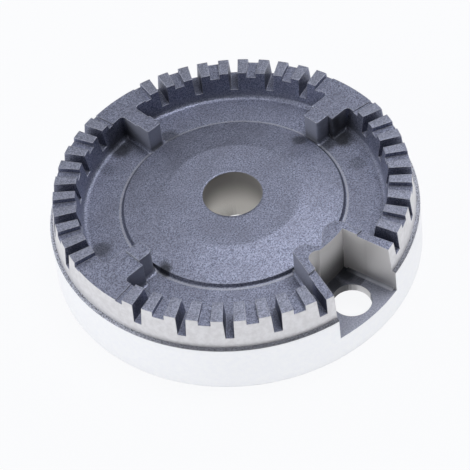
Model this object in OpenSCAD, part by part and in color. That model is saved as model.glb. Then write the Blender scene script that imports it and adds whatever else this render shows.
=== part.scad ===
// Gas burner crown, one aluminium die casting. Millimetres, Z up, origin at the centre of the bottom rim.
// The igniter pocket faces -Y; the three plain lugs stand at +X, +Y and -X.
// Angles are counted about Z from +X. In the lug and pocket plans, X runs outwards from the crown's centre.

/* [Drum] */
// Outer radius at the bottom rim
drum_foot_r = 38.11; // [37.5:0.01:38.8]
// How much smaller the drum's radius is at the ledge
drum_taper = 0.61; // [0.3:0.01:0.9]
// Height of the ledge above the bottom rim
ledge_z = 10.7; // [10:0.1:11.4]
// Rounding of the ledge's outer edge
ledge_round = 0.35; // [0.2:0.05:0.5]
// Wall thickness of the drum at the rim
drum_wall = 1.7; // [1.5:0.05:1.8]
// Draft of the drum's inner wall, narrower at the top
drum_draft = 0.2; // [0.1:0.05:0.3]

/* [Flame ring] */
// Width of the ledge around the ring
ledge_w = 0.74; // [0.5:0.01:1]
// How far the ring's outer wall leans in towards the tooth tops
ring_lean = 0.96; // [0.6:0.01:1.2]
// Height of the tooth tops above the ledge
ring_h = 6.46; // [6.2:0.01:6.8]
// Depth of the teeth, from the outer wall to the bowl
tooth_depth = 4.45; // [4.2:0.05:4.8]
// How far the ring's inner wall leans in towards its foot
bowl_lean = 0.75; // [0.5:0.05:1]
// Fillet between the ring and the bowl's floor
bowl_fillet = 1; // [0.6:0.1:1.3]

/* [Flame slots] */
// Slots in each quarter, between two lugs
slots_per_quarter = 5; // [5:1:5]
// Angle from one slot to the next
slot_pitch_deg = 14.256; // [14:0.01:14.5]
// Height of the slot floors above the ledge
slot_sill = 2.25; // [1.9:0.05:2.7]
// Slot width at its floor
slot_floor_w = 1.65; // [1.4:0.05:1.9]
// Slot width at the tooth tops
slot_top_w = 2; // [1.7:0.05:2.2]

/* [Shallow notches] */
// Depth of the notches below the tooth tops
notch_drop = 1.11; // [0.95:0.01:1.3]
// Angle that a notch spans
notch_span_deg = 3.75; // [3.2:0.05:4.2]
// Angle from a lug's axis to the far side of the cut-off notch beside it
end_notch_deg = 11.1; // [10.6:0.05:11.4]

/* [Blank stretches at the lugs] */
// How far the ring without teeth lies below the tooth tops
blank_drop = 0.79; // [0.6:0.01:0.9]
// Half the angle of a blank stretch
blank_half_deg = 8.55; // [8:0.05:9]

/* [Bowl] */
// Height of the bowl's flat floor above the ledge
floor_rise = 0.12; // [0:0.01:0.3]
// Width of the flat floor between the ring and the disc
channel_w = 7.84; // [7.4:0.05:8.2]
// Width of the disc's slanting edge
step_w = 0.5; // [0.35:0.05:0.7]
// Height of the disc's edge above the floor
step_h = 0.7; // [0.5:0.05:0.9]
// Fillet at the foot of the disc's edge
step_fillet = 0.4; // [0.25:0.05:0.5]
// Rise of the shallow cone from the disc's edge to its flat centre
cone_h = 1.46; // [1.2:0.01:1.7]
// Width of the flat centre around the gas hole
flat_w = 7.7; // [7:0.05:8.3]
// Thickness of the disc and of the bowl's floor
skin = 2; // [1.8:0.05:2.2]

/* [Gas tube] */
// Radius of the central gas hole
bore_r = 6.09; // [5.8:0.01:6.4]
// Wall of the tube around it at the lower end
tube_wall = 1.7; // [1.4:0.05:2]
// Extra radius of the tube's outside where it meets the disc
tube_draft = 0.4; // [0.2:0.05:0.6]
// Fillets inside the hollow underside
under_fillet = 1.2; // [0.8:0.1:1.5]

/* [Lugs] */
// How far a lug reaches in from the foot of the ring
lug_reach = 7.7; // [7.3:0.05:7.9]
// Half the width of a lug
lug_half_w = 1.9; // [1.7:0.05:2.1]
// Half the width of the lug at +Y, which has no broad root
slim_half_w = 1.75; // [1.6:0.05:1.85]
// Rounding of the tip corners of the lug at -X
lug_round = 1.1; // [0.8:0.05:1.3]
// Rounding of the tip corners of the other two lugs
tight_round = 0.4; // [0.3:0.05:0.6]
// How far the raised pads lie below the tooth tops
pad_drop = 0.26; // [0.15:0.01:0.4]
// Length of the raised pad at a lug's tip
pad_len = 3.45; // [3.1:0.05:3.8]
// Half the width of the broad root behind the pad
root_half_w = 2.9; // [2.6:0.05:3.2]
// Plan fillet between a lug's root and the ring
root_fillet = 1; // [0.7:0.05:1.3]
// Fillet around the foot of the lugs and of the pocket's arms
foot_fillet = 0.65; // [0.4:0.05:0.65]

/* [Igniter pocket] */
// Depth of the pocket's floor below the ledge
pocket_drop = 5.13; // [4.8:0.01:5.5]
// Thickness of the pocket's floor
pocket_floor_t = 1.8; // [1.5:0.05:2.1]
// Thickness of the pocket's walls
pocket_wall = 1.65; // [1.5:0.05:1.8]
// Depth of the pocket in plan, from the ledge's edge to its curved inner end
pocket_depth = 11.6; // [11.2:0.05:12]
// Distance from the axis to the slanting wall, where the pads end
slant_t = 5.5; // [5.3:0.05:5.7]
// Angle of the slanting wall to the pocket's axis
slant_deg = 17.4; // [17:0.05:17.8]
// Angle of the other wall, which points at the crown's centre
radial_deg = 11.65; // [11.2:0.05:12]
// Rounding of the inner corner at the slanting wall
slant_round = 1.8; // [1.5:0.05:2.1]
// Distance of the centre of that rounding from the pocket's inner end
slant_round_in = 1.05; // [0.8:0.05:1.3]
// Radius of the hole for the spark plug
spark_r = 3.94; // [3.7:0.01:4]
// Distance of the spark hole's centre from the ledge's edge
spark_inset = 5.25; // [5.2:0.05:5.5]
// Fillet along the foot of the radial wall
pocket_fillet = 0.9; // [0.6:0.05:1.2]

/* [Pocket lobes] */
// Radius of the two rounded ends of the pocket's arms
lobe_r = 2.75; // [2.6:0.05:2.9]
// Distance of the slanting arm's lobe centre from the pocket's inner end
slant_lobe_back = 1; // [0.8:0.05:1.2]
// Distance of that centre from the line of the slanting wall
slant_lobe_in = 0.12; // [0:0.02:0.24]
// Distance of the radial arm's lobe centre from the pocket's inner end
radial_lobe_back = 0.45; // [0.3:0.05:0.6]
// Distance of that centre from the line of the radial wall
radial_lobe_in = 1.75; // [1.6:0.05:1.9]
// Web left between the groove and the pocket
groove_web = 0.6; // [0.5:0.05:0.8]
// Distance from the axis to the groove's side at the slanting arm
groove_slant_t = 1.5; // [1.3:0.05:1.7]
// Distance from the axis to the groove's bottom corner at the radial arm
groove_radial_t = 0.42; // [0.3:0.02:0.6]
// Length of the raised pads on the arms, outwards from the pocket's inner end
arm_pad_len = 2.45; // [2.2:0.05:2.7]

/* [Hidden] */
$fn = 128;
eps = 0.02 * skin;
// Rounding circles are this much larger, so that they cross the walls they meet instead of only touching them.
fillet_ease = 1.002;
quarter_deg = 90;
quarters = 4;
lug_angles = [0, 90, 180];
slim_lug_angle = 90;
round_lug_angle = 180;
pocket_angle = 270;

ledge_r = drum_foot_r - drum_taper;
ring_foot_r = ledge_r - ledge_w;
ring_top_r = ring_foot_r - ring_lean;
bowl_top_r = ring_top_r - tooth_depth;
bowl_foot_r = bowl_top_r - bowl_lean;
step_foot_r = bowl_foot_r - channel_w;
step_top_r = step_foot_r - step_w;
flat_r = bore_r + flat_w;
tube_foot_r = bore_r + tube_wall;
tube_top_r = tube_foot_r + tube_draft;
drum_in_foot_r = drum_foot_r - drum_wall;
drum_in_top_r = drum_in_foot_r - drum_draft;
drum_slope = drum_taper / ledge_z;
ring_mid_r = (bowl_top_r + ring_top_r) / 2;

ring_top_z = ledge_z + ring_h;
floor_z = ledge_z + floor_rise;
step_top_z = floor_z + step_h;
flat_z = step_top_z + cone_h;
floor_under_z = floor_z - skin;
step_under_z = step_top_z - skin;
flat_under_z = flat_z - skin;
slot_floor_z = ledge_z + slot_sill;
notch_floor_z = ring_top_z - notch_drop;
blank_z = ring_top_z - blank_drop;
pad_z = ring_top_z - pad_drop;
pocket_floor_z = ledge_z - pocket_drop;

lug_tip = bowl_foot_r - lug_reach;
pad_end = lug_tip + pad_len;
pocket_end_r = ledge_r - pocket_depth;
arm_pad_end = pocket_end_r + arm_pad_len;
spark_s = ledge_r - spark_inset;
groove_s = pocket_end_r - groove_web;

middle_slot = (slots_per_quarter - 1) / 2;
pocket_span_deg = quarter_deg / 2 - middle_slot * slot_pitch_deg;
over = 2 * ring_top_z;
lobe_fillet_turn = 1.1 * quarter_deg;
far = 2 * drum_foot_r;
slant_out = [-sin(slant_deg), -cos(slant_deg)];
radial_dir = [cos(radial_deg), sin(radial_deg)];
radial_out = [-sin(radial_deg), cos(radial_deg)];

function unit(v) = v / norm(v);

// Point on the pocket's slanting wall, moved outwards by grow, at distance s along the axis.
function slant_point(s, grow) =
    [s, -slant_t - (s - arm_pad_end) * tan(slant_deg) - grow / cos(slant_deg)];

// Point on the pocket's radial wall, moved outwards by grow, at distance s from the crown's centre.
function radial_point(s, grow) = radial_dir * s + radial_out * grow;

slant_lobe = slant_point(pocket_end_r - slant_lobe_back, -slant_lobe_in * cos(slant_deg));
radial_lobe = radial_point((pocket_end_r - radial_lobe_back) / cos(radial_deg), 0) - [0, radial_lobe_in];
// The radial arm ends towards the bowl in a second round of the same radius, which touches the arm's outer side.
radial_end_s = radial_lobe * radial_dir;
radial_end = radial_point(radial_end_s, pocket_wall - lobe_r);

// Fills the corner at p between the directions a and b with a concave fillet of radius r.
module corner_fillet(p, a, b, r) {
    ua = unit(a);
    ub = unit(b);
    mid = unit(ua + ub);
    half = acos(ua * ub) / 2;
    reach = r / tan(half);
    c = p + mid * r / sin(half);
    difference() {
        polygon([p - mid * eps, p + ua * reach, c, p + ub * reach]);
        translate(c) circle(r = r * fillet_ease);
    }
}

// Half section of the drum, the ring, the bowl's floor, the disc and the gas tube.
module body_section() {
    polygon([
        [drum_foot_r, 0],
        [ledge_r + drum_slope * ledge_round, ledge_z - ledge_round],
        [ledge_r - ledge_round, ledge_z],
        [ring_foot_r, ledge_z],
        [ring_top_r, ring_top_z],
        [bowl_top_r, ring_top_z],
        [bowl_foot_r, floor_z],
        [step_foot_r, floor_z],
        [step_top_r, step_top_z],
        [flat_r, flat_z],
        [bore_r, flat_z],
        [bore_r, 0],
        [tube_foot_r, 0],
        [tube_top_r, flat_under_z],
        [flat_r, flat_under_z],
        [step_top_r, step_under_z],
        [step_foot_r, floor_under_z],
        [drum_in_top_r, floor_under_z],
        [drum_in_foot_r, 0]
    ]);
    corner_fillet([bowl_foot_r, floor_z], [bowl_lean, ring_top_z - floor_z], [-1, 0], bowl_fillet);
    corner_fillet([step_foot_r, floor_z], [-step_w, step_h], [1, 0], step_fillet);
    corner_fillet([drum_in_top_r, floor_under_z], [drum_draft, -floor_under_z], [-1, 0], under_fillet);
    corner_fillet([tube_top_r, flat_under_z], [-tube_draft, -flat_under_z], [1, 0], under_fillet);
}

module body() {
    rotate_extrude() body_section();
}

// A wedge in plan between two angles, from the centre out past the drum.
module wedge_plan(from_deg, to_deg) {
    mid_deg = (from_deg + to_deg) / 2;
    polygon([
        [0, 0],
        far * [cos(from_deg), sin(from_deg)],
        far * [cos(mid_deg), sin(mid_deg)],
        far * [cos(to_deg), sin(to_deg)]
    ]);
}

// Everything above height z between two angles, outside the radius from_r.
module sector_cut(from_deg, to_deg, z, from_r) {
    translate([0, 0, z]) linear_extrude(over) difference() {
        wedge_plan(from_deg, to_deg);
        circle(r = from_r);
    }
}

// One flame slot along X, slightly wider at the top, open to the bowl and to the outside.
module slot_cut() {
    rise = ring_top_z - slot_floor_z;
    open_w = slot_top_w + (slot_top_w - slot_floor_w) * skin / rise;
    from_r = (bowl_foot_r + step_foot_r) / 2;
    translate([from_r, 0, slot_floor_z]) rotate([90, 0, 90]) linear_extrude(far - from_r) polygon([
        [-slot_floor_w / 2, 0],
        [slot_floor_w / 2, 0],
        [open_w / 2, rise + skin],
        [-open_w / 2, rise + skin]
    ]);
}

// The slots of one quarter with the shallow notches between them, symmetric about angle 0.
module quarter_cuts() {
    for (k = [0 : slots_per_quarter - 1]) {
        rotate([0, 0, (k - middle_slot) * slot_pitch_deg]) slot_cut();
    }
    for (k = [0 : slots_per_quarter - 2]) {
        a = (k - middle_slot + 1 / 2) * slot_pitch_deg;
        sector_cut(a - notch_span_deg / 2, a + notch_span_deg / 2, notch_floor_z, lug_tip);
    }
}

module port_cuts() {
    for (q = [0 : quarters - 1]) {
        rotate([0, 0, (q + 1 / 2) * quarter_deg]) quarter_cuts();
    }
}

// Lowers the ring behind one plain lug and cuts the short notch on each side of it.
module blank_cuts() {
    sector_cut(-blank_half_deg, blank_half_deg, blank_z, lug_tip);
    for (side = [-1, 1]) {
        a = side * (blank_half_deg + end_notch_deg) / 2;
        half = (end_notch_deg - blank_half_deg) / 2;
        sector_cut(a - half, a + half, notch_floor_z, lug_tip);
    }
}

// A bar in plan from s0 to s1, with its two corners at s0 rounded.
module bar_plan(s0, s1, half_w, r) {
    translate([s0 + r, -half_w]) square([s1 - s0 - r, 2 * half_w]);
    translate([s0, r - half_w]) square([2 * r, 2 * (half_w - r)]);
    for (side = [-1, 1]) {
        translate([s0 + r, side * (half_w - r)]) circle(r = r);
    }
}

// Fillets in plan where a bar of that half width meets the ring.
module ring_fillets(half_w) {
    c = [sqrt(pow(bowl_top_r - root_fillet, 2) - pow(half_w + root_fillet, 2)), half_w + root_fillet];
    for (side = [0, 1]) {
        mirror([0, side]) difference() {
            polygon([[c[0], half_w - eps], c, unit(c) * bowl_top_r, [bowl_top_r + eps, half_w - eps]]);
            translate(c) circle(r = root_fillet * fillet_ease);
        }
    }
}

// Fillet at height z along the foot of a straight wall: it starts at p, runs along heading, on its left.
module edge_fillet(p, heading, len, z, r) {
    translate([p[0], p[1], z]) rotate([0, 0, heading]) rotate([90, 0, 90]) linear_extrude(len)
        corner_fillet([0, 0], [1, 0], [0, 1], r);
}

// Fillet around the rounded tip of a bar and some way along its sides.
module tip_fillet(s0, side_len, half_w, r, z) {
    edge_fillet([s0, r - half_w], quarter_deg, 2 * (half_w - r), z, foot_fillet);
    edge_fillet([s0 + r, half_w], 0, side_len, z, foot_fillet);
    edge_fillet([s0 + r + side_len, -half_w], 2 * quarter_deg, side_len, z, foot_fillet);
    for (side = [0, 1]) {
        mirror([0, side, 0]) translate([s0 + r, half_w - r, z]) rotate([0, 0, quarter_deg])
            rotate_extrude(angle = quarter_deg) corner_fillet([r, 0], [1, 0], [0, 1], foot_fillet);
    }
}

// Fillets along both sides of a bar from s0 to the ring.
module side_fillets(s0, half_w) {
    len = bowl_foot_r - s0;
    edge_fillet([s0, half_w], 0, len, floor_z, foot_fillet);
    edge_fillet([s0 + len, -half_w], 2 * quarter_deg, len, floor_z, foot_fillet);
}

// One plain lug along X: the raised pad at its tip and the root that runs into the ring.
module lug(half_w, root_w, r) {
    base_z = floor_z - eps;
    translate([0, 0, base_z]) linear_extrude(blank_z - base_z) {
        bar_plan(lug_tip, ring_mid_r, half_w, r);
        if (root_w > half_w) {
            translate([pad_end, -root_w]) square([ring_mid_r - pad_end, 2 * root_w]);
        }
        ring_fillets(root_w);
    }
    translate([0, 0, base_z]) linear_extrude(pad_z - base_z) intersection() {
        bar_plan(lug_tip, ring_mid_r, half_w, r);
        translate([0, -root_w]) square([pad_end, 2 * root_w]);
    }
    tip_fillet(lug_tip, eps, half_w, r, floor_z);
    side_fillets(lug_tip + r, half_w);
    if (root_w > half_w) {
        side_fillets(pad_end, root_w);
    }
}

module lugs() {
    for (a = lug_angles) {
        slim = a == slim_lug_angle;
        rotate([0, 0, a]) lug(
            slim ? slim_half_w : lug_half_w,
            slim ? slim_half_w : root_half_w,
            a == round_lug_angle ? lug_round : tight_round
        );
    }
}

// The pocket in plan: a slanting wall at -Y, a radial wall at +Y and a curved inner end.
// With grow it is the outline of the pocket's walls.
module pocket_plan(grow) {
    s = pocket_end_r + slant_round_in;
    c = slant_point(s, -slant_round);
    r = slant_round + grow;
    end_r = pocket_end_r - grow;
    difference() {
        polygon([
            c + slant_out * r,
            slant_point(far, grow),
            radial_point(far, grow),
            radial_point(end_r - eps, grow),
            [end_r - eps, c[1]],
            c
        ]);
        circle(r = end_r);
    }
    translate(c) circle(r = r * fillet_ease);
}

// The two arms and their lobes in plan, with the groove between the lobes.
module arms_plan() {
    a = slant_lobe;
    b = radial_lobe;
    half_turn = quarter_deg / 2;
    intersection() {
        union() {
            translate(a) circle(r = lobe_r);
            translate(b) circle(r = lobe_r);
            translate(radial_end) circle(r = lobe_r * fillet_ease);
            polygon([
                slant_point(a[0], pocket_wall),
                slant_point(drum_foot_r, pocket_wall),
                radial_point(drum_foot_r, pocket_wall),
                radial_point(radial_end_s, pocket_wall),
                radial_end,
                b,
                b - lobe_r * [sin(half_turn), cos(half_turn)],
                [groove_s, -groove_radial_t],
                [groove_s, -groove_slant_t],
                [a[0], a[1] + lobe_r]
            ]);
        }
        polygon([
            slant_point(0, pocket_wall),
            slant_point(far, pocket_wall),
            radial_point(far, pocket_wall),
            radial_point(0, pocket_wall)
        ]);
    }
}

// Fillets along the foot of the arms, on the side of the bowl. The slanting arm's one runs into the disc.
module arm_fillets() {
    side_s = bowl_foot_r - step_top_r + 2 * foot_fillet;
    edge_fillet(slant_point(bowl_foot_r, pocket_wall), 2 * quarter_deg - slant_deg,
        side_s / cos(slant_deg), floor_z, foot_fillet);
    rotate([0, 0, radial_deg]) translate([radial_end_s, pocket_wall - lobe_r, 0]) {
        edge_fillet([0, lobe_r], 0, bowl_foot_r - radial_end_s, floor_z, foot_fillet);
        translate([0, 0, floor_z]) rotate([0, 0, quarter_deg]) rotate_extrude(angle = lobe_fillet_turn)
            corner_fillet([lobe_r, 0], [1, 0], [0, 1], foot_fillet);
    }
}

// The solid that the pocket is sunk into: arms above the bowl, walls and floor below it.
module pocket_block() {
    floor_under = pocket_floor_z - pocket_floor_t;
    arms_z = floor_z - skin / 2;
    inset = drum_wall / 2;
    intersection() {
        translate([0, 0, arms_z]) linear_extrude(blank_z - arms_z) arms_plan();
        cylinder(r = ring_mid_r, h = over);
    }
    intersection() {
        translate([0, 0, arms_z]) linear_extrude(pad_z - arms_z) arms_plan();
        translate([0, -far / 2]) cube([arm_pad_end, far, over]);
    }
    intersection() {
        translate([0, 0, floor_under]) linear_extrude(arms_z + eps - floor_under) pocket_plan(pocket_wall);
        cylinder(r1 = drum_foot_r - inset, r2 = ledge_r - inset, h = ledge_z);
    }
    arm_fillets();
}

// The ring beside the pocket has no teeth: it is lowered to the blank height between the two nearest slots.
module pocket_blank_cut() {
    sector_cut(-pocket_span_deg, pocket_span_deg, blank_z, arm_pad_end);
}

// Fillet along the foot of the radial wall.
module pocket_foot() {
    from_r = pocket_end_r + pocket_fillet;
    to_r = ledge_r - ledge_round;
    rotate([0, 0, radial_deg]) translate([from_r, 0, pocket_floor_z]) rotate([90, 0, 90])
        linear_extrude(to_r - from_r) corner_fillet([0, 0], [-1, 0], [0, 1], pocket_fillet);
}

module crown() {
    color([0.46, 0.48, 0.54]) difference() {
        union() {
            difference() {
                union() {
                    difference() {
                        body();
                        for (a = lug_angles) {
                            rotate([0, 0, a]) blank_cuts();
                        }
                        rotate([0, 0, pocket_angle]) pocket_blank_cut();
                    }
                    lugs();
                    rotate([0, 0, pocket_angle]) pocket_block();
                }
                port_cuts();
                rotate([0, 0, pocket_angle]) translate([0, 0, pocket_floor_z])
                    linear_extrude(over) pocket_plan(0);
            }
            rotate([0, 0, pocket_angle]) pocket_foot();
        }
        rotate([0, 0, pocket_angle]) translate([spark_s, 0, -eps]) cylinder(r = spark_r, h = over);
    }
}

crown();
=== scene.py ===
"""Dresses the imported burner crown: cast and smooth aluminium, a pale floor, soft lights and the camera.

Places and sizes on the crown are in its own frame: the origin is at the centre of the bottom rim, +Z is up
and the igniter pocket opens towards -Y.
"""

import math

import bpy
from mathutils import Matrix, Vector

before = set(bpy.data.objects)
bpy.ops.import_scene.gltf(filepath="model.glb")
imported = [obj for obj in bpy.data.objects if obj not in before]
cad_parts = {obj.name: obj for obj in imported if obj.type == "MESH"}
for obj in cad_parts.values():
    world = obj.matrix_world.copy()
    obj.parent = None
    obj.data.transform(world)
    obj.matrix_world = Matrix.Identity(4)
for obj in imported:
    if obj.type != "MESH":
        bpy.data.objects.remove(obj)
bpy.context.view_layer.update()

MM = 0.001

# Camera, fitted to the photograph. It looks at the middle of the ledge, a little off it to the right and up.
LEDGE_Z = 10.7 * MM
PHOTO_TURN = math.radians(-38.85)
CAMERA_TILT = 0.8428958
CAMERA_ROLL = 0.1278440
CAMERA_DISTANCE = 280.44 * MM
CAMERA_RIGHT = 0.5704 * MM
CAMERA_UP = 6.7984 * MM
CAMERA_FOCAL_PX = 1384.92
PHOTO_SIDE_PX = 470
SENSOR_MM = 36.0

# Soft edges of the zones, each from where its mask is 0 to where it is 1. Radii and heights are millimetres.
OUTSIDE_R = (35.2, 35.4)
SEAM_R = (36.6, 36.8)
GAS_HOLE_R = (6.4, 6.2)
HOLE_RIM_R = (6.8, 6.5)
DISC_R = (21.5, 21.0)
INSIDE_RING_R = (31.0, 30.2)
SLOTS_R = (31.0, 31.4)
ABOVE_LEDGE_Z = (10.65, 10.75)
SEAM_Z = (10.3, 10.45)
BELOW_PADS_Z = (14.5, 14.0)
TOOTH_TOPS_Z = (16.9, 17.0)
# The painted shadow marks fade out between these heights.
SHADOW_Z = (16.7, 15.7)
POCKET_SHADE_Z = (15.0, 8.0)
# Between these heights the gas tube goes from painted light low down to painted shade at the top.
TUBE_SHADE_Z = (3.0, 11.0)

# Bands of the same kind, from low to high, with soft ends.
STEP_R = (22.3, 22.75)
STEP_FOOT_R = (22.9, 23.3)
LUG_FEET_R = (23.2, 30.0)
LUG_FEET_Z = (10.75, 11.5)
BAND_SOFT_SHARE = 0.15

# Soft edges by the way a face looks, as the cosine of its angle to the named direction.
UPRIGHT_LIMIT = (0.3, 0.6)
OUTWARD = (0.5, 0.6)
UPWARD_TOP = (0.9, 0.95)
UPWARD_FOOT = (0.8, 0.9)
STEP_LEAN = (0.3, 0.85)
SPARK_FILLET_LEAN = (0.35, 0.95)
ROUNDING_LEAN = (0.05, 0.2)
SEAM_LEAN = (0.50, 0.65)
SEAM_LIT_SIDE_LEAN = 0.15
FROM_RADIAL_WALL = (-0.5, -0.8)
NOT_FROM_GROOVE = (0.45, 0.30)

# The seam at the ledge is painted dull and dark on this side of the crown, as shade, and painted brighter
# elsewhere, as light.
SHADED_SIDE_DEG = 246
SHADED_SIDE_EDGE = (0.90, 0.50)

# Plan of the igniter pocket, in millimetres across and along its axis. The slanting wall passes through the
# point SLANT_ACROSS, SLANT_ALONG, and the radial wall through the crown's axis.
POCKET_FROM = 24.7
POCKET_MARGIN = 0.25
POCKET_MARGIN_SHARE = 0.8
SLANT_ACROSS = 5.5
SLANT_ALONG = 28.35
SLANT_TAN = math.tan(math.radians(17.4))
RADIAL_TAN = math.tan(math.radians(11.65))

# Painted shadows: dark marks beside the lugs and on the pocket's floor, where shade falls: x, y and reach in
# millimetres, and strength.
SHADOW_MARKS = [
    (27.4, -4.4, 3.4, 0.9),
    (24.4, -3.6, 2.6, 0.7),
    (20.5, 1.2, 2.1, 0.65),
    (24.4, -11.6, 2.8, 0.35),
    (-5.5, 28.6, 3.2, 0.8),
    (4.2, 23.6, 2.5, 0.55),
    (-11.3, 26.3, 2.6, 0.3),
    (-22.0, -3.1, 2.1, 0.85),
    (-26.3, 10.4, 2.9, 0.55),
    (0.6, -27.2, 3.2, 0.9),
    (3.9, -26.9, 2.8, 0.85),
]
SHADOW_CORE_SHARE = 0.3
SHADOW_DRIFT = 2.4

# Colours of the blasted casting, with a painted highlight colour, a painted shade colour and a painted
# shadow colour.
CAST_DARK = (0.127, 0.139, 0.196, 1.0)
CAST_LIGHT = (0.412, 0.442, 0.590, 1.0)
PATCH_COLOUR = (0.190, 0.200, 0.262, 1.0)
WALL_COLOUR = (0.355, 0.376, 0.465, 1.0)
# Painted highlight colour for edges, fillets, tooth tops, the step's foot and the pocket's fillet.
HIGHLIGHT_COLOUR = (0.560, 0.575, 0.640, 1.0)
# Painted shade colour, laid into recesses and on the disc's step, where shade falls.
PAINTED_SHADE_COLOUR = (0.020, 0.021, 0.027, 1.0)
# Painted shadow colour for the dark marks beside the lugs and on the pocket's floor.
SHADOW_COLOUR = (0.030, 0.032, 0.038, 1.0)

# Colours of the rough seam along the ledge, painted lighter as light away from its shaded side, and of the
# smoother drum, ring, pocket walls and gas tube, whose colour goes from painted light low down to painted
# shade at the top.
SEAM_DARK = (0.100, 0.103, 0.125, 1.0)
SEAM_MID = (0.270, 0.278, 0.325, 1.0)
SEAM_LIT = (0.600, 0.625, 0.730, 1.0)
DRUM_COLOUR = (0.970, 0.980, 1.000, 1.0)
DRUM_DARK = (0.940, 0.952, 0.988, 1.0)
RING_COLOUR = (0.785, 0.783, 0.810, 1.0)
RING_DARK = (0.695, 0.690, 0.712, 1.0)
POCKET_COLOUR = (0.820, 0.810, 0.815, 1.0)
# Painted light low in the gas tube and painted shade at its top.
TUBE_LIT_LOW = (0.820, 0.800, 0.770, 1.0)
TUBE_SHADED_TOP = (0.270, 0.263, 0.257, 1.0)

# How strongly a zone's own colour covers the casting's. At edges, tooth tops, the step's foot and the
# pocket's fillet this lays a painted highlight, and at the disc's step painted shade.
PATCH_SHARE = 0.35
WALL_SHARE = 0.85
EDGE_HIGHLIGHT_SHARE = 0.7
TOP_HIGHLIGHT_SHARE = 0.15
STEP_SHADE_SHARE = 0.35
FOOT_HIGHLIGHT_SHARE = 0.45
SPARK_FILLET_HIGHLIGHT_SHARE = 0.85

# How strongly painted shade darkens the recesses, from ambient occlusion: everywhere, in the pocket, on its
# radial wall, and what the outside, the slots and the feet with painted highlight keep of it.
CAVITY_SHARE = 0.94
POCKET_CAVITY_SHARE = 0.75
RADIAL_CAVITY_SHARE = 0.08
OUTSIDE_CAVITY_SHARE = 0.3
SLOT_CAVITY_SHARE = 0.45
FOOT_CAVITY_SHARE = 0.4
CAVITY_REACH = 8.0 * MM
POCKET_CAVITY_REACH = 22.0 * MM
CAVITY_OPEN = (0.20, 0.67)
POCKET_OPEN = (0.42, 0.85)

# Noise scales, per metre, and the noise values between which each pattern goes from one colour to the other.
GRAIN_SCALE = 3400.0
FINE_SCALE = 7000.0
PATCH_SCALE = 210.0
MOTTLE_SCALE = 900.0
SEAM_SCALE = 4600.0
SHADOW_SCALE = 420.0
GRAIN_RANGE = (0.30, 0.70)
PATCH_RANGE = (0.35, 0.7)
MOTTLE_RANGE = (0.3, 0.7)
SEAM_RANGE = (0.30, 0.62)

# Finish: softened edges, relief of the grain, roughness and metallic share.
EDGE_BEVEL = 0.2 * MM
DISC_BEVEL = 0.8 * MM
FOOT_BEVEL = 0.5 * MM
EDGE_SEEN = (0.985, 0.85)
GRAIN_RELIEF = 0.08 * MM
FINE_RELIEF_SHARE = 0.5
SMOOTH_RELIEF_SHARE = 0.10
CAST_ROUGHNESS = 0.48
OUTSIDE_ROUGHNESS = 0.39
SMOOTH_ROUGHNESS = 0.6
ROUNDING_ROUGHNESS = 0.75
WALL_ROUGHNESS = 0.62
CAST_METALLIC = 0.9
WALL_METALLIC = 0.35

# The floor, and how much of it glows to the camera and in the metal.
FLOOR_HALF = 3.0
FLOOR_COLOUR = (0.92, 0.92, 0.93, 1.0)
FLOOR_GLOW_COLOUR = (0.972, 0.978, 0.992, 1.0)
FLOOR_GLOW = 0.94

# Lamps: name, place before the photograph's turn in metres, diameter in metres, and power in watts.
LAMPS = [
    ("key", (0.20, 0.08, 0.78), 0.5, 3.0),
    ("fill", (-0.69, -0.20, 0.27), 0.85, 3.1),
    ("rim_right", (0.56, 0.56, 0.36), 0.5, 1.5),
    ("rim_left", (-0.60, 0.50, 0.34), 0.5, 1.5),
]

# The room is dim at the horizon, more so behind the camera, and bright overhead. Its right is brighter than
# its left. The camera sees it as a plain pale backdrop.
ROOM_HORIZON = 0.05
ROOM_OVERHEAD = 0.43
ROOM_RISE = 2.7
ROOM_TO_RIGHT = 0.4
ROOM_LEFT_LEAST = 0.4
ROOM_FRONT = 0.4
ROOM_FRONT_EDGE = (0.3, 0.8)
ROOM_COLOUR = (1.0, 1.0, 1.0, 1.0)
BACKDROP_COLOUR = (0.985, 0.99, 1.0, 1.0)


def link(obj):
    bpy.context.scene.collection.objects.link(obj)
    return obj


def photo_turn():
    """Turns the photograph's own right, back and up into the crown's frame."""
    return Matrix.Rotation(PHOTO_TURN, 3, "Z")


def make_camera():
    tilt, roll = CAMERA_TILT, CAMERA_ROLL
    turn = photo_turn()
    right = turn @ Vector((1, 0, 0))
    up = turn @ Vector((0, math.sin(tilt), math.cos(tilt)))
    back = turn @ Vector((0, -math.cos(tilt), math.sin(tilt)))
    place = back * CAMERA_DISTANCE - right * CAMERA_RIGHT - up * CAMERA_UP
    place += Vector((0, 0, LEDGE_Z))
    image_right = right * math.cos(roll) - up * math.sin(roll)
    image_up = right * math.sin(roll) + up * math.cos(roll)
    data = bpy.data.cameras.new("photo_camera")
    data.sensor_width = SENSOR_MM
    data.lens = CAMERA_FOCAL_PX / PHOTO_SIDE_PX * SENSOR_MM
    data.clip_start = 0.01
    data.clip_end = 20
    camera = link(bpy.data.objects.new("photo_camera", data))
    axes = Matrix((image_right, image_up, back)).transposed()
    camera.matrix_world = Matrix.Translation(place) @ axes.to_4x4()
    bpy.context.scene.camera = camera


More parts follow.
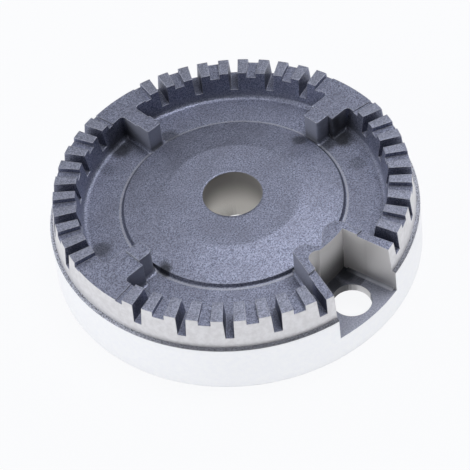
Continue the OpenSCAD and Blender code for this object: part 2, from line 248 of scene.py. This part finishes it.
class Nodes:
    """Short names for making the nodes of a material or a world."""

    def __init__(self, owner):
        owner.use_nodes = True
        self.tree = owner.node_tree
        self.tree.nodes.clear()

    def add(self, kind, **values):
        node = self.tree.nodes.new(kind)
        for key, value in values.items():
            setattr(node, key, value)
        return node

    def put(self, socket, value):
        if isinstance(value, bpy.types.NodeSocket):
            self.tree.links.new(value, socket)
        else:
            socket.default_value = value

    def math(self, operation, a, b=0.0):
        node = self.add("ShaderNodeMath", operation=operation)
        self.put(node.inputs[0], a)
        self.put(node.inputs[1], b)
        return node.outputs[0]

    def both(self, a, b):
        return self.math("MULTIPLY", a, b)

    def either(self, a, b):
        return self.math("MAXIMUM", a, b)

    def without(self, a):
        return self.math("SUBTRACT", 1.0, a)

    def split(self, vector):
        node = self.add("ShaderNodeSeparateXYZ")
        self.put(node.inputs[0], vector)
        return node.outputs

    def vector(self, operation, a, b=(0.0, 0.0, 0.0)):
        node = self.add("ShaderNodeVectorMath", operation=operation)
        self.put(node.inputs[0], a)
        self.put(node.inputs[1], b)
        return node.outputs["Value" if operation in ("DOT_PRODUCT", "LENGTH") else "Vector"]

    def ramp(self, value, edge, unit=1.0):
        """Rises smoothly from 0 at the edge's first value to 1 at its second."""
        node = self.add("ShaderNodeMapRange", interpolation_type="SMOOTHSTEP")
        self.put(node.inputs["Value"], value)
        node.inputs["From Min"].default_value = edge[0] * unit
        node.inputs["From Max"].default_value = edge[1] * unit
        return node.outputs["Result"]

    def band(self, value, edges, unit=1.0):
        """1 between the two edges, with soft ends."""
        low, high = edges
        soft = (high - low) * BAND_SOFT_SHARE
        rise = self.ramp(value, (low - soft, low), unit)
        return self.both(rise, self.ramp(value, (high + soft, high), unit))

    def noise(self, coords, scale, detail=2.0, roughness=0.5):
        node = self.add("ShaderNodeTexNoise")
        self.put(node.inputs["Vector"], coords)
        node.inputs["Scale"].default_value = scale
        node.inputs["Detail"].default_value = detail
        node.inputs["Roughness"].default_value = roughness
        return node.outputs["Fac"]

    def mix(self, factor, a, b):
        node = self.add("ShaderNodeMix", data_type="RGBA")
        self.put(node.inputs["Factor"], factor)
        self.put(node.inputs[6], a)
        self.put(node.inputs[7], b)
        return node.outputs[2]

    def mix_value(self, factor, a, b):
        node = self.add("ShaderNodeMix", data_type="FLOAT")
        self.put(node.inputs["Factor"], factor)
        self.put(node.inputs[2], a)
        self.put(node.inputs[3], b)
        return node.outputs[0]


def surface_values(n):
    """Where a point of the casting is and which way its face looks."""
    place = n.add("ShaderNodeTexCoord").outputs["Object"]
    normal = n.add("ShaderNodeNewGeometry").outputs["True Normal"]
    flat = n.vector("MULTIPLY", place, (1.0, 1.0, 0.0))
    outward = n.vector("NORMALIZE", flat)
    facing = n.split(normal)
    level = n.ramp(n.math("ABSOLUTE", facing[2]), UPRIGHT_LIMIT)
    return {
        "place": place,
        "at": n.split(place),
        "height": n.split(place)[2],
        "flat": flat,
        "radius": n.vector("LENGTH", flat),
        "outward": outward,
        "normal": normal,
        "facing": facing,
        "outside_facing": n.ramp(n.vector("DOT_PRODUCT", outward, normal), OUTWARD),
        "upright": n.without(level),
    }


def pocket_plan(n, across, along):
    """1 within the pocket's plan and just outside it, so that the mask takes in the pocket's walls."""
    slant = n.math("ADD", across, n.both(along, SLANT_TAN))
    slant = n.math("ADD", slant, (SLANT_ACROSS - SLANT_ALONG * SLANT_TAN) * MM)
    radial = n.math("SUBTRACT", n.both(along, RADIAL_TAN), across)
    inner = n.math("SUBTRACT", along, POCKET_FROM * MM)
    within = n.math("MINIMUM", n.math("MINIMUM", slant, radial), inner)
    return n.ramp(within, (-POCKET_MARGIN, -POCKET_MARGIN * POCKET_MARGIN_SHARE), MM)


def soot_mask(n, surface):
    """Painted shadows: soft, uneven dark marks at their places in plan, below the lugs' tops."""
    wander = n.math("SUBTRACT", n.noise(surface["place"], SHADOW_SCALE), 0.5)
    drift = n.both(wander, SHADOW_DRIFT * MM)
    mask = 0.0
    for x, y, reach, strength in SHADOW_MARKS:
        away = n.vector("LENGTH", n.vector("SUBTRACT", surface["flat"], (x * MM, y * MM, 0.0)))
        away = n.math("ADD", away, drift)
        mark = n.both(n.ramp(away, (reach, reach * SHADOW_CORE_SHARE), MM), strength)
        mask = n.either(mask, mark)
    return n.both(mask, n.ramp(surface["height"], SHADOW_Z, MM))


def outside_masks(n, surface):
    """The drum and the ring's outer wall, and the ledge between them."""
    radius, height, upward = surface["radius"], surface["height"], surface["facing"][2]
    outside = n.both(n.ramp(radius, OUTSIDE_R, MM), surface["outside_facing"])
    ring = n.both(outside, n.ramp(height, ABOVE_LEDGE_Z, MM))
    ledge = n.both(n.ramp(radius, SEAM_R, MM), n.ramp(height, SEAM_Z, MM))
    # Away from the shaded side, the seam is painted lighter, as light, and it reaches further.
    shaded_side = (math.cos(math.radians(SHADED_SIDE_DEG)), math.sin(math.radians(SHADED_SIDE_DEG)), 0.0)
    seam_lit_side = n.ramp(n.vector("DOT_PRODUCT", surface["outward"], shaded_side), SHADED_SIDE_EDGE)
    seam = n.ramp(n.math("ADD", upward, n.both(seam_lit_side, SEAM_LIT_SIDE_LEAN)), SEAM_LEAN)
    return {
        "outside": outside,
        "ring": ring,
        "drum": n.math("SUBTRACT", outside, ring),
        "seam_lit_side": seam_lit_side,
        "seam": n.both(ledge, seam),
        "rounding": n.both(ledge, n.ramp(upward, ROUNDING_LEAN)),
    }


def bowl_masks(n, surface):
    """The bowl, its disc and gas hole, the lugs' feet and the ring's slots and tops."""
    radius, height, upward = surface["radius"], surface["height"], surface["facing"][2]
    below_pads = n.ramp(height, BELOW_PADS_Z, MM)
    # The disc's step takes painted shade, and its foot a painted highlight.
    step = n.both(n.band(radius, STEP_R, MM), n.band(upward, STEP_LEAN))
    step_foot = n.both(n.band(radius, STEP_FOOT_R, MM), n.ramp(upward, UPWARD_FOOT))
    return {
        "tube": n.both(n.ramp(radius, GAS_HOLE_R, MM), surface["upright"]),
        "rim": n.ramp(radius, HOLE_RIM_R, MM),
        "disc": n.both(n.ramp(radius, DISC_R, MM), below_pads),
        "step": n.both(step, below_pads),
        "foot": n.both(step_foot, below_pads),
        "lug_feet": n.both(n.band(radius, LUG_FEET_R, MM), n.band(height, LUG_FEET_Z, MM)),
        "walls": n.both(surface["upright"], n.ramp(radius, INSIDE_RING_R, MM)),
        "slots": n.ramp(radius, SLOTS_R, MM),
        "tops": n.both(n.ramp(height, TOOTH_TOPS_Z, MM), n.ramp(upward, UPWARD_TOP)),
    }


def pocket_masks(n, surface, outside):
    """The igniter pocket: its inside, its smooth walls and the fillet at the radial wall's foot."""
    at, facing = surface["at"], surface["facing"]
    pocket = pocket_plan(n, at[0], n.both(at[1], -1.0))
    inside = n.without(outside)
    fillet = n.both(n.band(facing[2], SPARK_FILLET_LEAN), n.ramp(surface["height"], BELOW_PADS_Z, MM))
    walls = n.both(n.both(pocket, surface["upright"]), inside)
    return {
        "recess": n.both(pocket, inside),
        "pocket_walls": n.both(walls, n.ramp(facing[1], NOT_FROM_GROOVE)),
        "radial": n.ramp(facing[0], FROM_RADIAL_WALL),
        "spark_fillet": n.both(pocket, fillet),
    }


def zone_masks(n):
    """The surface's values, and masks from 0 to 1 for the zones that were finished differently."""
    zone = surface_values(n)
    zone.update(outside_masks(n, zone))
    zone.update(bowl_masks(n, zone))
    zone.update(pocket_masks(n, zone, zone["outside"]))
    zone["soot"] = soot_mask(n, zone)
    zone["smooth"] = n.either(zone["tube"], zone["pocket_walls"])
    return zone


def soft_normal(n, zone):
    """The normal with its edges rounded off, more so at the disc and the lugs' feet."""
    bevel = n.add("ShaderNodeBevel", samples=8)
    radius = n.mix_value(zone["disc"], EDGE_BEVEL, DISC_BEVEL)
    n.put(bevel.inputs["Radius"], n.mix_value(zone["lug_feet"], radius, FOOT_BEVEL))
    return bevel.outputs[0]


def edge_mask(n, zone, normal):
    """1 along edges and corners, where the softened normal departs from the face's own."""
    bend = n.vector("DOT_PRODUCT", normal, zone["normal"])
    return n.both(n.ramp(bend, EDGE_SEEN), n.without(zone["rim"]))


def painted_shade_mask(n, zone, edge):
    """How much painted shade darkens the colour in a recess, from ambient occlusion. It counts less outside,
    in the slots and on the feet with painted highlight.
    """
    hollow = n.add("ShaderNodeAmbientOcclusion", samples=12)
    n.put(hollow.inputs["Distance"], n.mix_value(zone["recess"], CAVITY_REACH, POCKET_CAVITY_REACH))
    open_share = n.ramp(hollow.outputs["AO"], CAVITY_OPEN)
    open_share = n.mix_value(zone["recess"], open_share, n.ramp(hollow.outputs["AO"], POCKET_OPEN))
    in_pocket = n.both(n.ramp(zone["height"], POCKET_SHADE_Z, MM), POCKET_CAVITY_SHARE)
    in_pocket = n.mix_value(zone["radial"], in_pocket, RADIAL_CAVITY_SHARE)
    closed = n.both(n.without(open_share), n.mix_value(zone["smooth"], CAVITY_SHARE, in_pocket))
    # The feet and the pocket's fillet carry painted highlight and keep more of their colour.
    highlighted_feet = n.either(n.both(edge, zone["lug_feet"]), zone["spark_fillet"])
    outside = n.either(zone["seam"], zone["drum"])
    for mask, kept in (
        (outside, OUTSIDE_CAVITY_SHARE),
        (zone["slots"], SLOT_CAVITY_SHARE),
        (highlighted_feet, FOOT_CAVITY_SHARE),
    ):
        closed = n.both(closed, n.mix_value(mask, 1.0, kept))
    return closed


def casting_colour(n, zone, grain, edge):
    """The blasted casting: grainy and patchy, with plainer walls, painted highlights on edges, fillets and
    tooth tops, painted shade on the disc's step and painted shadow marks.
    """
    patches = n.noise(zone["place"], PATCH_SCALE, 3.0, 0.6)
    colour = n.mix(n.ramp(grain, GRAIN_RANGE), CAST_DARK, CAST_LIGHT)
    for mask, share, own in (
        (n.ramp(patches, PATCH_RANGE), PATCH_SHARE, PATCH_COLOUR),
        (zone["walls"], WALL_SHARE, WALL_COLOUR),
        # Painted highlights along edges and fillets, on the tooth tops, at the step's foot and on the
        # pocket's fillet.
        (edge, EDGE_HIGHLIGHT_SHARE, HIGHLIGHT_COLOUR),
        (zone["tops"], TOP_HIGHLIGHT_SHARE, HIGHLIGHT_COLOUR),
        # Painted shade on the disc's step.
        (zone["step"], STEP_SHADE_SHARE, PAINTED_SHADE_COLOUR),
        (zone["foot"], FOOT_HIGHLIGHT_SHARE, HIGHLIGHT_COLOUR),
        (zone["spark_fillet"], SPARK_FILLET_HIGHLIGHT_SHARE, HIGHLIGHT_COLOUR),
    ):
        colour = n.mix(n.both(mask, share), colour, own)
    # Painted shadows beside the lugs and on the pocket's floor.
    return n.mix(zone["soot"], colour, SHADOW_COLOUR)


def smooth_colour(n, zone, colour):
    """Lays the pocket's walls, the gas tube, the ring's outer wall and the drum over the casting. The gas
    tube is painted lighter low down, as light from the floor, and darker at the top, as painted shade.
    """
    mottle = n.ramp(n.noise(zone["place"], MOTTLE_SCALE, 3.0, 0.6), MOTTLE_RANGE)
    # The gas tube: painted light low down, painted shade at the top.
    tube = n.mix(n.ramp(zone["height"], TUBE_SHADE_Z, MM), TUBE_LIT_LOW, TUBE_SHADED_TOP)
    colour = n.mix(zone["smooth"], colour, POCKET_COLOUR)
    colour = n.mix(zone["tube"], colour, tube)
    colour = n.mix(zone["ring"], colour, n.mix(mottle, RING_DARK, RING_COLOUR))
    return n.mix(zone["drum"], colour, n.mix(mottle, DRUM_DARK, DRUM_COLOUR))


def seam_colour(n, zone):
    """The rough seam along the ledge, speckled, and painted brighter, as light, away from its shaded side.
    """
    bright = n.mix(zone["seam_lit_side"], SEAM_MID, SEAM_LIT)
    speckle = n.noise(zone["place"], SEAM_SCALE, 1.0, 0.5)
    return n.mix(n.ramp(speckle, SEAM_RANGE), SEAM_DARK, bright)


def outside_or_smooth(n, zone):
    return n.either(n.either(zone["ring"], zone["drum"]), zone["smooth"])


def grain_normal(n, zone, grain, normal):
    """Adds the grain's relief, which is faint on the smoother walls."""
    fine = n.noise(zone["place"], FINE_SCALE, 1.0, 0.5)
    bump = n.add("ShaderNodeBump")
    bump.inputs["Distance"].default_value = GRAIN_RELIEF
    n.put(bump.inputs["Height"], n.math("ADD", grain, n.both(fine, FINE_RELIEF_SHARE)))
    n.put(bump.inputs["Strength"], n.mix_value(outside_or_smooth(n, zone), 1.0, SMOOTH_RELIEF_SHARE))
    n.put(bump.inputs["Normal"], normal)
    return bump.outputs[0]


def roughness(n, zone):
    rough = n.mix_value(outside_or_smooth(n, zone), CAST_ROUGHNESS, OUTSIDE_ROUGHNESS)
    rough = n.mix_value(zone["smooth"], rough, SMOOTH_ROUGHNESS)
    rough = n.mix_value(zone["rounding"], rough, ROUNDING_ROUGHNESS)
    return n.mix_value(zone["walls"], rough, WALL_ROUGHNESS)


def cast_aluminium():
    """Blasted die-cast aluminium, with a rough seam at the ledge and smoother walls."""
    material = bpy.data.materials.new("cast_aluminium")
    n = Nodes(material)
    zone = zone_masks(n)
    grain = n.noise(zone["place"], GRAIN_SCALE, 2.0, 0.7)
    normal = soft_normal(n, zone)
    edge = edge_mask(n, zone, normal)
    colour = smooth_colour(n, zone, casting_colour(n, zone, grain, edge))
    colour = n.mix(zone["seam"], colour, seam_colour(n, zone))
    # Painted shade in the recesses, from ambient occlusion.
    colour = n.mix(painted_shade_mask(n, zone, edge), colour, PAINTED_SHADE_COLOUR)
    dull = n.either(zone["walls"], zone["rounding"])
    shader = n.add("ShaderNodeBsdfPrincipled")
    n.put(shader.inputs["Base Color"], colour)
    n.put(shader.inputs["Roughness"], roughness(n, zone))
    n.put(shader.inputs["Metallic"], n.mix_value(dull, CAST_METALLIC, WALL_METALLIC))
    n.put(shader.inputs["Normal"], grain_normal(n, zone, grain, normal))
    out = n.add("ShaderNodeOutputMaterial")
    n.put(out.inputs["Surface"], shader.outputs[0])
    return material


def dress_crown():
    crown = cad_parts["crown"]
    crown.data.materials.clear()
    crown.data.materials.append(cast_aluminium())


def floor_material():
    """White floor that shows white to the camera and in the metal, and keeps a soft shadow."""
    material = bpy.data.materials.new("pale_floor")
    n = Nodes(material)
    diffuse = n.add("ShaderNodeBsdfDiffuse")
    diffuse.inputs["Color"].default_value = FLOOR_COLOUR
    glow = n.add("ShaderNodeEmission")
    glow.inputs["Color"].default_value = FLOOR_GLOW_COLOUR
    rays = n.add("ShaderNodeLightPath")
    seen = n.either(rays.outputs["Is Camera Ray"], rays.outputs["Is Glossy Ray"])
    mix = n.add("ShaderNodeMixShader")
    n.put(mix.inputs[0], n.both(seen, FLOOR_GLOW))
    n.put(mix.inputs[1], diffuse.outputs[0])
    n.put(mix.inputs[2], glow.outputs[0])
    out = n.add("ShaderNodeOutputMaterial")
    n.put(out.inputs["Surface"], mix.outputs[0])
    return material


def make_floor():
    mesh = bpy.data.meshes.new("pale_floor")
    corners = [(x * FLOOR_HALF, y * FLOOR_HALF, 0) for x, y in ((-1, -1), (1, -1), (1, 1), (-1, 1))]
    mesh.from_pydata(corners, [], [(0, 1, 2, 3)])
    floor = link(bpy.data.objects.new("pale_floor", mesh))
    mesh.materials.append(floor_material())


def area_light(name, place, size, power):
    """A round lamp at the place, aimed at the origin."""
    data = bpy.data.lights.new(name, "AREA")
    data.shape = "DISK"
    data.size = size
    data.energy = power
    light = link(bpy.data.objects.new(name, data))
    light.location = place
    light.rotation_euler = (-place).to_track_quat("-Z", "Y").to_euler()


def make_room():
    world = bpy.data.worlds.new("soft_room")
    n = Nodes(world)
    direction = n.add("ShaderNodeTexCoord").outputs["Generated"]
    height = n.math("MAXIMUM", n.split(direction)[2], 0.0)
    level = n.both(n.math("POWER", height, ROOM_RISE), ROOM_OVERHEAD)
    level = n.math("ADD", level, ROOM_HORIZON)
    side = n.vector("DOT_PRODUCT", direction, tuple(photo_turn() @ Vector((1, 0, 0))))
    side = n.math("MAXIMUM", n.math("ADD", n.both(side, ROOM_TO_RIGHT), 1.0), ROOM_LEFT_LEAST)
    front = n.vector("DOT_PRODUCT", direction, tuple(photo_turn() @ Vector((0, -1, 0))))
    front = n.mix_value(n.ramp(front, ROOM_FRONT_EDGE), 1.0, ROOM_FRONT)
    level = n.both(n.both(level, side), front)
    rays = n.add("ShaderNodeLightPath")
    background = n.add("ShaderNodeBackground")
    n.put(background.inputs["Color"], n.mix(rays.outputs["Is Camera Ray"], ROOM_COLOUR, BACKDROP_COLOUR))
    n.put(background.inputs["Strength"], n.math("MAXIMUM", level, rays.outputs["Is Camera Ray"]))
    out = n.add("ShaderNodeOutputWorld")
    n.put(out.inputs["Surface"], background.outputs[0])
    bpy.context.scene.world = world


def make_lights():
    for name, place, size, power in LAMPS:
        area_light(name, photo_turn() @ Vector(place), size, power)
    make_room()


dress_crown()
make_floor()
make_lights()
make_camera()
bpy.context.scene.view_settings.view_transform = "Standard"
